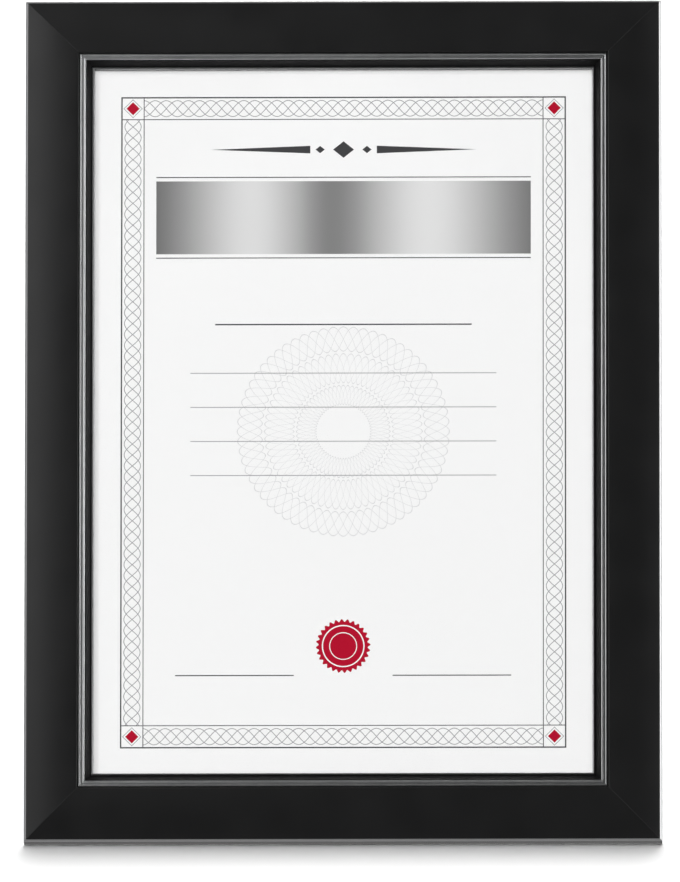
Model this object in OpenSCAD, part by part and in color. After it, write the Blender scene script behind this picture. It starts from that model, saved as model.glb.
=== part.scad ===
// Free-standing document frame: a mitred black moulding with fine beads round the opening,
// glass, a sheet with its backing card, a back panel held by turn buttons, two wire hangers
// and a folding strut. The frame leans back on its strut and stands on the plane z = 0.

/* [Contents] */
// Width of the sheet that the frame holds
sheet_w = 210; // [160:1:300]
// Height of the sheet that the frame holds
sheet_h = 297; // [220:1:420]
// Thickness of the printed sheet
sheet_t = 0.3; // [0.1:0.05:1]
// Thickness of the glass
glass_t = 2; // [1:0.1:4]
// Thickness of the backing card behind the sheet
card_t = 1; // [0.5:0.1:3]
// Thickness of the back panel
panel_t = 2.5; // [2:0.1:5]
// Free room between the back panel and the plane of the moulding's back
back_room = 0.7; // [0.4:0.05:1.5]
// Gap between the edge of the contents and the wall of the rebate
edge_gap = 0.5; // [0.2:0.05:1]

/* [Moulding] */
// Width of a rail across its face, from the sight edge to the outside
rail_w = 28; // [22:0.5:36]
// Width of the sheet's margin that a rail covers
lip_overlap = 4; // [2:0.5:8]
// Thickness of the lip in front of the glass
lip_t = 2; // [1.5:0.1:6]
// Radius of the half-round nose at the sight edge
sight_r = 0.5; // [0.3:0.05:0.9]
// Width of the bevel from the sight edge to the seat of the beads
bevel_w = 3.05; // [2:0.05:6]
// Height that the bevel climbs
bevel_rise = 2.6; // [0.5:0.05:4]
// Flat strip between the bevel and the first bead
bead_margin = 0.4; // [0.2:0.05:1.5]
// Radius of a half-round bead
bead_r = 0.45; // [0.3:0.05:1]
// Groove between the two beads
bead_gap = 0.7; // [0.3:0.05:2]
// Groove between the second bead and the shoulder
shoulder_gap = 0.35; // [0.2:0.05:2]
// Height of the band's crown above the seat of the beads
crown_h = 1.3; // [1:0.1:4]
// Radius that rounds the shoulder
shoulder_r = 0.5; // [0.2:0.05:0.8]
// Radius that rounds the outer front edge
outer_r = 1.8; // [0.5:0.1:2.5]
// Angle at which the band climbs from the shoulder
band_climb = 3; // [1:1:12]
// Angle at which the band falls at the outside
band_fall = 18; // [4:1:20]
// Place of the crown, as a share of the band's width
crown_share = 0.1; // [0.05:0.01:0.7]

/* [Corner wedges] */
// Length of one arm of a steel corner wedge
wedge_arm = 5; // [3:0.5:7]
// Thickness of a wedge's steel
wedge_t = 0.6; // [0.3:0.1:1]
// Depth that a wedge reaches into the moulding
wedge_depth = 6; // [4:0.5:8]
// Depth of a wedge's edge below the moulding's back
wedge_sink = 0.2; // [0.1:0.05:0.6]

/* [Stand] */
// Angle by which the frame leans back
lean = 12; // [9:0.5:16]
// Angle of the open strut from the vertical
strut_splay = 10; // [6:0.5:12]
// Thickness of the strut's leg
leg_t = 3; // [2.5:0.1:5]
// Gap between the folded leg and the back panel
leg_gap = 1; // [0.9:0.05:2]
// Width of the leg at its top
leg_top_w = 38; // [32:1:60]
// Width of the leg at its foot
leg_foot_w = 70; // [50:1:95]
// Corner radius at the leg's top
leg_top_r = 5; // [2:0.5:8]
// Corner radius at the leg's foot
leg_foot_r = 8; // [3:0.5:12]

/* [Strut hinge] */
// Thickness of the hinge's sheet steel
leaf_t = 0.8; // [0.6:0.05:1.2]
// Width of the leaf on the back panel
panel_leaf_w = 34; // [32:1:46]
// Reach of the panel's leaf above the hinge axis
panel_leaf_up = 19; // [17:0.5:26]
// Reach of the panel's leaf below the hinge axis
panel_leaf_down = 3; // [2:0.5:5]
// Height of the panel leaf's rivets above the hinge axis
panel_rivet_rise = 14; // [13:0.5:18]
// Distance between the panel leaf's rivets
panel_rivet_span = 20; // [14:1:24]
// Width of the leaf on the strut
strut_leaf_w = 24; // [20:1:28]
// Reach of the strut's leaf below the hinge axis
strut_leaf_down = 24; // [20:1:40]
// Depth of the strut's rivets below the hinge axis
strut_rivet_drop = 15; // [12:0.5:18]
// Distance between the strut's rivets
strut_rivet_span = 13; // [9:1:16]
// Corner radius of both leaves
leaf_corner_r = 2; // [1:0.25:3]
// Steel left round the pin in the strut's ears
ear_wall = 0.6; // [0.4:0.05:0.8]
// Thickness of a head on the hinge pin
pin_head_t = 0.6; // [0.3:0.1:1.5]
// Width that a pin head stands out past the pin
pin_head_rim = 0.5; // [0.3:0.05:0.8]
// Distance from the leg's top edge to the ears
leg_top_gap = 2.3; // [1.5:0.1:4]

/* [Rivets] */
// Radius of a rivet's shank
rivet_r = 1.5; // [1:0.1:2]
// Radius of a rivet's head
rivet_head_r = 2.5; // [2.1:0.1:3.5]
// Height of a rivet's head
rivet_head_h = 0.9; // [0.5:0.05:1.5]
// Height of a rivet's closed end
rivet_tail_t = 0.6; // [0.3:0.05:0.8]

/* [Turn buttons] */
// Distance from the rebate's wall to a button's pivot
button_setback = 7; // [6:0.25:9]
// Distance from a button's pivot to the centre of its tip
button_reach = 8.5; // [7.5:0.25:10]
// Radius of a button round its pivot
button_r = 5; // [4:0.25:6]
// Radius of a button's tip
button_tip_r = 3; // [2:0.25:3.5]
// Thickness of a button
button_t = 1; // [0.6:0.1:1.5]
// Radius of a button screw's shank
screw_r = 1.25; // [1:0.05:1.75]
// Depth that a button screw reaches into the moulding
screw_depth = 8; // [5:0.5:10]
// Radius of a button screw's head
screw_head_r = 2.8; // [2.5:0.1:3.5]
// Height of a button screw's head
screw_head_h = 1.8; // [1.3:0.1:2.4]
// Height of the straight side of a screw's head
screw_head_side = 0.6; // [0.3:0.05:0.9]
// Width of the cross recess in a screw's head
recess_w = 0.7; // [0.4:0.05:1]
// Length of the cross recess
recess_span = 3.2; // [2:0.1:3.8]
// Depth of the cross recess
recess_depth = 0.9; // [0.5:0.1:1.2]

/* [Hangers] */
// Radius of the hanger's wire
wire_r = 0.7; // [0.5:0.05:1]
// Radius of a wire ring's round bow, at the middle of the wire
bow_r = 7; // [6:0.25:9]
// Length of the straight side between the bow and the bend to the bar
ring_side = 1; // [0.5:0.25:4]
// Radius of the bend from the side to the bar, at the middle of the wire
ring_bend_r = 1.5; // [1:0.25:1.5]
// Width of the strap that holds the wire
strap_w = 9; // [7:0.5:10]
// Thickness of the strap
strap_t = 0.6; // [0.4:0.05:0.7]
// Distance from the top of the panel to the upper hanger's bar
upper_bar_drop = 21; // [17:0.5:30]
// Distance from the side of the panel to the side hanger's bar
side_bar_inset = 17; // [15:0.5:30]

/* [Fits] */
// Radial running clearance of the hinge pin in the strut's ears and of a button on its screw
running_gap = 0.05; // [0.02:0.01:0.09]
// Radial clearance of the wire in its strap
wire_gap = 0.08; // [0.03:0.01:0.1]
// Clearance round a fastener that sits fast in its hole or slot
seat_gap = 0.02; // [0.01:0.01:0.05]
// Free gap on each flat side of a turn button
button_gap = 0.15; // [0.1:0.05:0.4]
// Gap between the ears of the two hinge leaves
ear_side_gap = 0.4; // [0.2:0.05:1]
// Gap between the strut's ears and the panel's leaf
ear_gap = 0.3; // [0.2:0.05:0.5]
// Gap at the hinge's stop when the strut stands open
stop_gap = 0.15; // [0.1:0.05:0.3]
// Gap between the folded wire ring and its rivet
ring_rivet_gap = 0.8; // [0.5:0.1:2]

/* [Hidden] */
$fn = 64;

// Cuts run past the faces that they open by this much
overrun = 1;
// Steps along a rounded corner, a bead or the nose, and the band's curve
corner_steps = 6;
bead_steps = 8;
band_steps = 8;

// Places along the frame, as shares of its size
hinge_height_share = 0.623;
end_button_share = 0.24;
side_button_share = 0.26;
wedge_shares = [0.45, 0.75];

// Rebate and outside sizes
rebate_w = lip_overlap + edge_gap;
rebate_d = glass_t + sheet_t + card_t + panel_t + back_room;
frame_w = sheet_w + 2 * (rail_w - lip_overlap);
frame_h = sheet_h + 2 * (rail_w - lip_overlap);

// Rail section: u runs outward from the sight edge, v forward from the back
lip_front = rebate_d + lip_t;
seat_v = lip_front + bevel_rise;
crown_v = seat_v + crown_h;
bead_1_u = bevel_w + bead_margin + bead_r;
bead_2_u = bead_1_u + 2 * bead_r + bead_gap;
shoulder_u = bead_2_u + bead_r + shoulder_gap;
band_start_u = shoulder_u + shoulder_r * (1 - sin(band_climb));
band_end_u = rail_w - outer_r * (1 - sin(band_fall));
crown_u = band_start_u + crown_share * (band_end_u - band_start_u);
climb_h = tan(band_climb) * (crown_u - band_start_u) / 2;
fall_h = tan(band_fall) * (band_end_u - crown_u) / 2;
band_start_v = crown_v - climb_h;
band_end_v = crown_v - fall_h;

function arc(centre, r, from, to, steps) = [
  for (i = [0:steps]) let (a = from + (to - from) * i / steps) centre + r * [cos(a), sin(a)]
];

function band_v(u) = u < crown_u
  ? crown_v - climb_h * pow((crown_u - u) / (crown_u - band_start_u), 2)
  : crown_v - fall_h * pow((u - crown_u) / (band_end_u - crown_u), 2);

rail_section = concat(
  [[rail_w, 0], [rebate_w, 0], [rebate_w, rebate_d], [0, rebate_d]],
  arc([sight_r, lip_front - sight_r], sight_r, 180, 0, bead_steps),
  [[bevel_w, seat_v]],
  arc([bead_1_u, seat_v], bead_r, 180, 0, bead_steps),
  arc([bead_2_u, seat_v], bead_r, 180, 0, bead_steps),
  [[shoulder_u, seat_v]],
  arc([shoulder_u + shoulder_r, band_start_v - shoulder_r * cos(band_climb)],
    shoulder_r, 180, 90 + band_climb, corner_steps),
  [for (i = [1:band_steps - 1]) let (u = band_start_u + (band_end_u - band_start_u) * i / band_steps)
    [u, band_v(u)]],
  arc([rail_w - outer_r, band_end_v - outer_r * cos(band_fall)],
    outer_r, 90 - band_fall, 0, corner_steps)
);

// Depths of the contents behind the moulding's back plane, y = 0
panel_back = -back_room;
card_back = panel_back - panel_t;
sheet_back = card_back - card_t;
glass_back = sheet_back - sheet_t;

// Hinge: heights from the axis, which lies in the middle of the leg's thickness
hinge_z = frame_h * hinge_height_share;
axis_rise = leg_gap + leg_t / 2;
axis_y = panel_back + axis_rise;
leaf_face = axis_rise - leaf_t;
ear_r = leaf_face - ear_gap;
pin_r = ear_r - ear_wall;
panel_ear_x = strut_leaf_w / 2 + ear_side_gap;
pin_end_x = panel_ear_x + leaf_t + seat_gap;
strut_open = lean + strut_splay;
heel_up = (leg_t / 2 * cos(strut_open) + leaf_face - stop_gap) / sin(strut_open);
leg_top = leaf_face + leg_top_gap;

// Leg: the foot is cut by the floor while the strut stands open
axis_height = hinge_z * cos(lean) - axis_y * sin(lean);
function foot_drop(y) = (axis_height + y * sin(strut_splay)) / cos(strut_splay);
leg_drop = foot_drop(leg_t / 2);

// Turn buttons: x, z and the turn that points each one into the frame
button_u = rebate_w + button_setback;
button_side_x = frame_w / 2 - rail_w + button_u;
button_end_z = frame_h / 2 - rail_w + button_u;
screw_head_y = button_t + 2 * button_gap;
function button_place(side, along) = [
  [along * end_button_share * frame_w, -button_end_z, 0],
  [along * end_button_share * frame_w, button_end_z, 180],
  [-button_side_x, along * side_button_share * frame_h, 90],
  [button_side_x, along * side_button_share * frame_h, -90]
][side];
BOTTOM = 0;
TOP = 1;
LEFT = 2;
RIGHT = 3;

// Hangers: the wire ring hangs from its bar, which lies in the strap's eye
eye_bore_r = wire_r + wire_gap;
eye_r = eye_bore_r + strap_t;
bar_half = bow_r - ring_bend_r;
bow_drop = ring_bend_r + ring_side;
ring_drop = bow_drop + bow_r + wire_r;
hanger_rivet_drop = ring_drop + ring_rivet_gap + rivet_head_r;
upper_hanger = [0, frame_h / 2 + sheet_h / 2 - upper_bar_drop, 0];
side_hanger = [sheet_w / 2 - side_bar_inset, frame_h / 2, 90];

// The shift that puts the origin below the middle of the whole object
front_y = min([for (p = rail_section) (rail_w - p[0]) * sin(lean) - p[1] * cos(lean)]);
foot_y = axis_y * cos(lean) + hinge_z * sin(lean)
  + leg_t / 2 * cos(strut_splay) + leg_drop * sin(strut_splay);
stand_shift = -(front_y + max(foot_y, frame_h * sin(lean))) / 2;

// Corner rounding for an outline that runs anticlockwise
function unit(v) = v / norm(v);
function corner(before, at, after, r) = let (
  a = unit(before - at),
  b = unit(after - at),
  half = acos(a * b) / 2,
  centre = at + unit(a + b) * r / sin(half),
  first = at + a * r / tan(half) - centre,
  start = atan2(first[1], first[0])
) arc(centre, r, start, start + 180 - 2 * half, corner_steps);
function rounded(points, radii) = let (n = len(points)) [
  for (i = [0:n - 1]) each corner(points[(i + n - 1) % n], points[i], points[(i + 1) % n], radii[i])
];

// From the frame's own upright place to its leaning one
module leaning() {
  translate([0, stand_shift, 0]) rotate([-lean, 0, 0]) children();
}

// From the hinge's own place, with the strut folded, to the open strut
module open_strut() {
  leaning() translate([0, axis_y, hinge_z]) rotate([strut_open, 0, 0]) children();
}

// An outline in the plane of the frame, from depth y0 back to depth y1
module plate(y0, y1) {
  translate([0, y1, 0]) rotate([90, 0, 0]) linear_extrude(y1 - y0) children();
}

// A round bar along the depth, from y0 back to y1
module post(r, y0, y1) {
  plate(y0, y1) circle(r);
}

// Moulding

module rail_bar(length) {
  intersection() {
    rotate([90, 0, 90]) linear_extrude(length + 2 * overrun, center = true)
      polygon([for (p = rail_section) [-p[1], rail_w - p[0]]]);
    plate(-crown_v - overrun, overrun) polygon([
      [-length / 2 - overrun, -overrun], [length / 2 + overrun, -overrun],
      [length / 2 - rail_w - overrun, rail_w + overrun],
      [rail_w + overrun - length / 2, rail_w + overrun]
    ]);
  }
}

module wedge_outline(grow) {
  arm = wedge_arm + grow;
  half = wedge_t / 2 + grow;
  translate([-arm, -half]) square([arm + half, 2 * half]);
  translate([-half, -arm]) square([2 * half, arm + half]);
}

// Each row: the corner's side in x and in z, and the turn that points the arms outward
module at_wedges() {
  for (c = [[-1, -1, 0], [-1, 1, 90], [1, 1, 180], [1, -1, -90]], share = wedge_shares) {
    inset = rail_w * (1 - share);
    translate([c[0] * (frame_w / 2 - inset), 0, frame_h / 2 + c[1] * (frame_h / 2 - inset)])
      rotate([0, c[2], 0]) children();
  }
}

module wedge_slots() {
  at_wedges() plate(-wedge_sink - wedge_depth - seat_gap, overrun) wedge_outline(seat_gap);
}

module rail(side) {
  turn = [0, 180, 90, -90][side];
  upright = side == LEFT || side == RIGHT;
  length = upright ? frame_h : frame_w;
  across = upright ? frame_w : frame_h;
  color([0.09, 0.09, 0.1]) leaning() difference() {
    translate([0, 0, frame_h / 2]) rotate([0, turn, 0]) translate([0, 0, -across / 2]) rail_bar(length);
    wedge_slots();
    for (along = [-1, 1]) at_button(side, along) post(screw_r + seat_gap, -screw_depth - seat_gap, overrun);
  }
}

module corner_wedges() {
  color([0.62, 0.63, 0.65]) leaning() at_wedges()
    plate(-wedge_sink - wedge_depth, -wedge_sink) wedge_outline(0);
}

// Contents

module content_plate(front, back) {
  plate(front, back) translate([-sheet_w / 2, frame_h / 2 - sheet_h / 2]) square([sheet_w, sheet_h]);
}

module glass_pane() {
  color([0.85, 0.92, 0.92, 0.35]) leaning() content_plate(-rebate_d, glass_back);
}

module document_sheet() {
  color([0.95, 0.95, 0.95]) leaning() content_plate(glass_back, sheet_back);
}

module backing_card() {
  color([0.72, 0.70, 0.66]) leaning() content_plate(sheet_back, card_back);
}

module back_panel() {
  color([0.12, 0.11, 0.11]) leaning() difference() {
    content_plate(card_back, panel_back);
    at_panel_rivets() rivet_hole(card_back);
    at_hanger(upper_hanger) at_hanger_rivet() rivet_hole(card_back);
    at_hanger(side_hanger) at_hanger_rivet() rivet_hole(card_back);
  }
}

// Rivets: the closed end sits in a counterbore, so that the inner face stays flat

module rivet(tail_front, leaf_back) {
  post(rivet_head_r - seat_gap, tail_front, tail_front + rivet_tail_t);
  post(rivet_r, tail_front, leaf_back);
  translate([0, leaf_back, 0]) rivet_head();
}

module rivet_head() {
  dome_r = (rivet_head_r * rivet_head_r + rivet_head_h * rivet_head_h) / (2 * rivet_head_h);
  rotate([-90, 0, 0]) rotate_extrude() intersection() {
    square([rivet_head_r, rivet_head_h]);
    translate([0, rivet_head_h - dome_r]) circle(dome_r);
  }
}

module rivet_hole(front) {
  post(rivet_r + seat_gap, front - overrun, overrun);
  post(rivet_head_r, front - overrun, front + rivet_tail_t + seat_gap);
}

// Turn buttons

module at_button(side, along) {
  place = button_place(side, along);
  translate([place[0], 0, frame_h / 2 + place[1]]) rotate([0, place[2], 0]) children();
}

module button_outline() {
  tilt = asin((button_r - button_tip_r) / button_reach);
  circle(button_r);
  translate([0, button_reach]) circle(button_tip_r);
  polygon([
    button_r * [cos(tilt), sin(tilt)], [0, button_reach] + button_tip_r * [cos(tilt), sin(tilt)],
    [0, button_reach] + button_tip_r * [-cos(tilt), sin(tilt)], button_r * [-cos(tilt), sin(tilt)]
  ]);
}

module turn_button(side, along) {
  color([0.70, 0.71, 0.72]) leaning() at_button(side, along) plate(button_gap, button_gap + button_t)
    difference() {
      button_outline();
      circle(screw_r + running_gap);
    }
}

module button_screw() {
  drop = screw_head_h - screw_head_side;
  dome_r = (screw_head_r * screw_head_r + drop * drop) / (2 * drop);
  post(screw_r, -screw_depth, screw_head_y);
  translate([0, screw_head_y, 0]) difference() {
    rotate([-90, 0, 0]) rotate_extrude() intersection() {
      square([screw_head_r, screw_head_h]);
      translate([0, screw_head_h - dome_r]) circle(dome_r);
    }
    for (turn = [45, 135]) plate(screw_head_h - recess_depth, screw_head_h + overrun)
      rotate(turn) square([recess_span, recess_w], center = true);
  }
}

module button_screws() {
  color([0.78, 0.78, 0.80]) leaning()
    for (side = [BOTTOM, TOP, LEFT, RIGHT], along = [-1, 1]) at_button(side, along) button_screw();
}

// Strut and its hinge; the leaves are drawn from the hinge axis

module ear(r, bore_r, y0, y1, x0) {
  translate([x0, 0, 0]) rotate([90, 0, 90]) linear_extrude(leaf_t) difference() {
    union() {
      circle(r);
      translate([y0, -r]) square([y1 - y0, 2 * r]);
    }
    circle(bore_r);
  }
}

module leaf_outline(w, bottom, top) {
  polygon(rounded(
    [[-w / 2, bottom], [w / 2, bottom], [w / 2, top], [-w / 2, top]],
    [for (i = [0:3]) leaf_corner_r]
  ));
}

module at_panel_rivets() {
  for (s = [-1, 1]) translate([s * panel_rivet_span / 2, 0, hinge_z + panel_rivet_rise]) children();
}

module panel_leaf() {
  color([0.72, 0.72, 0.74]) leaning() difference() {
    translate([0, axis_y, hinge_z]) {
      plate(-axis_rise, -leaf_face) leaf_outline(panel_leaf_w, -panel_leaf_down, panel_leaf_up);
      for (x0 = [-panel_ear_x - leaf_t, panel_ear_x])
        ear(leaf_face, pin_r + seat_gap, -axis_rise, 0, x0);
    }
    at_panel_rivets() post(rivet_r + seat_gap, panel_back - overrun, panel_back + leaf_t + overrun);
  }
}

module panel_leaf_rivets() {
  color([0.80, 0.80, 0.81]) leaning() at_panel_rivets() rivet(card_back, panel_back + leaf_t);
}

module hinge_pin() {
  half = pin_end_x + pin_head_t;
  color([0.66, 0.66, 0.68]) leaning() translate([0, axis_y, hinge_z]) rotate([0, 90, 0]) {
    cylinder(r = pin_r, h = 2 * half, center = true);
    for (z0 = [-half, pin_end_x])
      translate([0, 0, z0]) cylinder(r = pin_r + pin_head_rim, h = pin_head_t);
  }
}

module at_strut_rivets() {
  for (s = [-1, 1]) translate([s * strut_rivet_span / 2, 0, -strut_rivet_drop]) children();
}

module strut_leaf() {
  color([0.72, 0.72, 0.74]) open_strut() difference() {
    union() {
      plate(leg_t / 2, leg_t / 2 + leaf_t) leaf_outline(strut_leaf_w, -strut_leaf_down, heel_up);
      for (x0 = [-strut_leaf_w / 2, strut_leaf_w / 2 - leaf_t])
        ear(ear_r, pin_r + running_gap, 0, leg_t / 2 + leaf_t, x0);
    }
    at_strut_rivets() post(rivet_r + seat_gap, 0, leg_t + leaf_t);
  }
}

module strut_leg() {
  color([0.12, 0.11, 0.11]) open_strut() difference() {
    intersection() {
      plate(-leg_t, leg_t) polygon(rounded(
        [[-leg_foot_w / 2, -leg_drop - overrun], [leg_foot_w / 2, -leg_drop - overrun],
          [leg_top_w / 2, -leg_top], [-leg_top_w / 2, -leg_top]],
        [leg_foot_r, leg_foot_r, leg_top_r, leg_top_r]
      ));
      rotate([90, 0, 90]) linear_extrude(leg_foot_w + 2 * overrun, center = true) polygon([
        [-leg_t / 2, 0], [-leg_t / 2, -foot_drop(-leg_t / 2)], [leg_t / 2, -leg_drop], [leg_t / 2, 0]
      ]);
    }
    at_strut_rivets() post(rivet_r + seat_gap, -leg_t, leg_t);
  }
}

module strut_rivets() {
  color([0.80, 0.80, 0.81]) open_strut() at_strut_rivets()
    rivet(-leg_t / 2 - rivet_tail_t, leg_t / 2 + leaf_t);
}

// Hangers; each is drawn with its bar along x and its strap hanging down

module at_hanger(place) {
  translate([place[0], 0, place[1]]) rotate([0, place[2], 0]) children();
}

module at_hanger_rivet() {
  translate([0, 0, -hanger_rivet_drop]) children();
}

module hanger_strap(place) {
  color([0.74, 0.74, 0.76]) leaning() at_hanger(place) difference() {
    union() {
      plate(panel_back, panel_back + strap_t) {
        translate([-strap_w / 2, -hanger_rivet_drop]) square([strap_w, hanger_rivet_drop]);
        translate([0, -hanger_rivet_drop]) circle(strap_w / 2);
      }
      translate([0, panel_back + eye_r, 0]) rotate([0, 90, 0])
        cylinder(r = eye_r, h = strap_w, center = true);
    }
    translate([0, panel_back + eye_r, 0]) rotate([0, 90, 0])
      cylinder(r = eye_bore_r, h = strap_w + 2 * overrun, center = true);
    at_hanger_rivet() post(rivet_r + seat_gap, panel_back - overrun, panel_back + strap_t + overrun);
  }
}

module hanger_rivet(place) {
  color([0.80, 0.80, 0.81]) leaning() at_hanger(place) at_hanger_rivet()
    rivet(card_back, panel_back + strap_t);
}

// Bends and bars of wire in the ring's plane; a place there is given as x and z
module wire_bend(centre, r, from, turn) {
  translate([centre[0], 0, centre[1]]) rotate([90, 0, 0]) rotate(from)
    rotate_extrude(angle = turn) translate([r, 0]) circle(wire_r);
}

module wire_bar(from, to) {
  along = to - from;
  translate([from[0], 0, from[1]]) rotate([0, atan2(along[0], along[1]), 0])
    cylinder(r = wire_r, h = norm(along));
}

module ring_wire() {
  wire_bar([-bar_half, 0], [bar_half, 0]);
  wire_bend([bar_half, -ring_bend_r], ring_bend_r, 0, 90);
  wire_bend([-bar_half, -ring_bend_r], ring_bend_r, 90, 90);
  for (s = [-1, 1]) wire_bar([s * bow_r, -ring_bend_r], [s * bow_r, -bow_drop]);
  wire_bend([0, -bow_drop], bow_r, 180, 180);
}

module hanger_ring(place, swing) {
  color([0.82, 0.82, 0.84]) leaning() at_hanger(place) translate([0, panel_back + eye_r, 0])
    rotate([swing, 0, 0]) ring_wire();
}

rail(TOP);  // top_rail
rail(BOTTOM);  // bottom_rail
rail(LEFT);  // left_rail
rail(RIGHT);  // right_rail
corner_wedges();
glass_pane();
document_sheet();
backing_card();
back_panel();
turn_button(BOTTOM, -1);  // turn_button_bottom_left
turn_button(BOTTOM, 1);  // turn_button_bottom_right
turn_button(TOP, -1);  // turn_button_top_left
turn_button(TOP, 1);  // turn_button_top_right
turn_button(LEFT, -1);  // turn_button_left_low
turn_button(LEFT, 1);  // turn_button_left_high
turn_button(RIGHT, -1);  // turn_button_right_low
turn_button(RIGHT, 1);  // turn_button_right_high
button_screws();
panel_leaf();
panel_leaf_rivets();
hinge_pin();
strut_leaf();
strut_leg();
strut_rivets();
hanger_strap(upper_hanger);  // upper_hanger_strap
hanger_rivet(upper_hanger);  // upper_hanger_rivet
hanger_ring(upper_hanger, lean);  // upper_hanger_ring
hanger_strap(side_hanger);  // side_hanger_strap
hanger_rivet(side_hanger);  // side_hanger_rivet
hanger_ring(side_hanger, 90);  // side_hanger_ring
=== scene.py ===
"""Dresses the document frame for its picture: moulding, printed sheet, glass, hardware and studio."""

from functools import reduce
from math import asin, atan2, cos, degrees, pi, radians, sin, sqrt, tan

import bmesh
import bpy
from mathutils import Matrix, Vector


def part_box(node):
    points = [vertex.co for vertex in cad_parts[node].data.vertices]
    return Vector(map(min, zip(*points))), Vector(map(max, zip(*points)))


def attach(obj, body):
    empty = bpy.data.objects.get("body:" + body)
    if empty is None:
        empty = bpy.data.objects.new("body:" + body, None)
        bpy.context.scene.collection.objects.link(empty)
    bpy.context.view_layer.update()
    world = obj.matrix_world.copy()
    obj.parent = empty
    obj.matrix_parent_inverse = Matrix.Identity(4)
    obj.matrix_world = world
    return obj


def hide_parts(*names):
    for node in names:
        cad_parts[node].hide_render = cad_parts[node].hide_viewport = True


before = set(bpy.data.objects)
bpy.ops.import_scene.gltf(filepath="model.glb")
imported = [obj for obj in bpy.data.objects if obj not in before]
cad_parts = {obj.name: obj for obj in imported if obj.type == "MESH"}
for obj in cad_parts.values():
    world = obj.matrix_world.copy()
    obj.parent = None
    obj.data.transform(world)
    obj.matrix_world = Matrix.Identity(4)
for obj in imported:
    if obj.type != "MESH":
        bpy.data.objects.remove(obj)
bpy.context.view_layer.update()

MM = 0.001

# Sizes in millimetres, with the names of the part's own values
SHEET_W = 210
SHEET_H = 297
SHEET_T = 0.3
GLASS_T = 2
CARD_T = 1
PANEL_T = 2.5
BACK_ROOM = 0.7
EDGE_GAP = 0.5
RAIL_W = 28
LIP_OVERLAP = 4
LIP_T = 2
SIGHT_R = 0.5
BEVEL_W = 3.05
BEVEL_RISE = 2.6
BEAD_MARGIN = 0.4
BEAD_R = 0.45
BEAD_GAP = 0.7
SHOULDER_GAP = 0.35
CROWN_H = 1.3
SHOULDER_R = 0.5
OUTER_R = 1.8
BAND_CLIMB = 3
BAND_FALL = 18
CROWN_SHARE = 0.1
WEDGE_ARM = 5
WEDGE_T = 0.6
WEDGE_DEPTH = 6
WEDGE_SINK = 0.2
WEDGE_SHARES = (0.45, 0.75)
LEAN = 12
STRUT_SPLAY = 10
HINGE_HEIGHT_SHARE = 0.623
LEG_T = 3
LEG_GAP = 1
LEG_TOP_W = 38
LEG_FOOT_W = 70
LEG_TOP_R = 5
LEG_FOOT_R = 8
LEG_TOP_GAP = 2.3
LEAF_T = 0.8
PANEL_LEAF_W = 34
PANEL_LEAF_UP = 19
PANEL_LEAF_DOWN = 3
PANEL_RIVET_RISE = 14
PANEL_RIVET_SPAN = 20
STRUT_LEAF_W = 24
STRUT_LEAF_DOWN = 24
STRUT_RIVET_DROP = 15
STRUT_RIVET_SPAN = 13
LEAF_CORNER_R = 2
PIN_R = 0.8
PIN_HEAD_T = 0.6
PIN_HEAD_RIM = 0.5
EAR_R = 1.4
EAR_SIDE_GAP = 0.4
STOP_GAP = 0.15
RIVET_R = 1.5
RIVET_HEAD_R = 2.5
RIVET_HEAD_H = 0.9
RIVET_TAIL_T = 0.6
BUTTON_SETBACK = 7
BUTTON_REACH = 8.5
BUTTON_R = 5
BUTTON_TIP_R = 3
BUTTON_T = 1
BUTTON_GAP = 0.15
END_BUTTON_SHARE = 0.24
SIDE_BUTTON_SHARE = 0.26
SCREW_R = 1.25
RUNNING_GAP = 0.05
SCREW_DEPTH = 8
SCREW_HEAD_R = 2.8
SCREW_HEAD_H = 1.8
SCREW_HEAD_SIDE = 0.6
RECESS_W = 0.7
RECESS_SPAN = 3.2
RECESS_DEPTH = 0.9
WIRE_R = 0.7
WIRE_GAP = 0.08
BOW_R = 7
RING_SIDE = 1
RING_BEND_R = 1.5
STRAP_W = 9
STRAP_T = 0.6
RING_RIVET_GAP = 0.8
UPPER_BAR_DROP = 21
SIDE_BAR_INSET = 17

# Sizes that follow from them
REBATE_W = LIP_OVERLAP + EDGE_GAP
REBATE_D = GLASS_T + SHEET_T + CARD_T + PANEL_T + BACK_ROOM
FRAME_W = SHEET_W + 2 * (RAIL_W - LIP_OVERLAP)
FRAME_H = SHEET_H + 2 * (RAIL_W - LIP_OVERLAP)
PANEL_BACK = -BACK_ROOM
CARD_BACK = PANEL_BACK - PANEL_T
SHEET_BACK = CARD_BACK - CARD_T
GLASS_BACK = SHEET_BACK - SHEET_T
STRUT_OPEN = LEAN + STRUT_SPLAY
HINGE_Z = FRAME_H * HINGE_HEIGHT_SHARE
AXIS_RISE = LEG_GAP + LEG_T / 2
AXIS_Y = PANEL_BACK + AXIS_RISE
LEAF_FACE = AXIS_RISE - LEAF_T
EYE_BORE_R = WIRE_R + WIRE_GAP
EYE_R = EYE_BORE_R + STRAP_T
BOW_DROP = RING_BEND_R + RING_SIDE
EAR_X = STRUT_LEAF_W / 2 + EAR_SIDE_GAP
HANGER_RIVET_DROP = BOW_DROP + BOW_R + WIRE_R + RING_RIVET_GAP + RIVET_HEAD_R

# The groove at a mitre: half its width, its depth, and a limit on how far its sharp corners move
SEAM_W = 0.1
SEAM_DEPTH = 0.09
SHARP_LIMIT = 0.6

# The band's fine curve lies this much lower, inside the part's coarser one
BAND_SINK = 0.02

# The pale line on the outer arris reaches from the side to this angle above it
ARRIS_TURN = 60

# Thin air between the layers, so that no two faces share a plane, and round the wedges
LAYER_GAP = 0.03
WEDGE_GAP = 0.04

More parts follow.
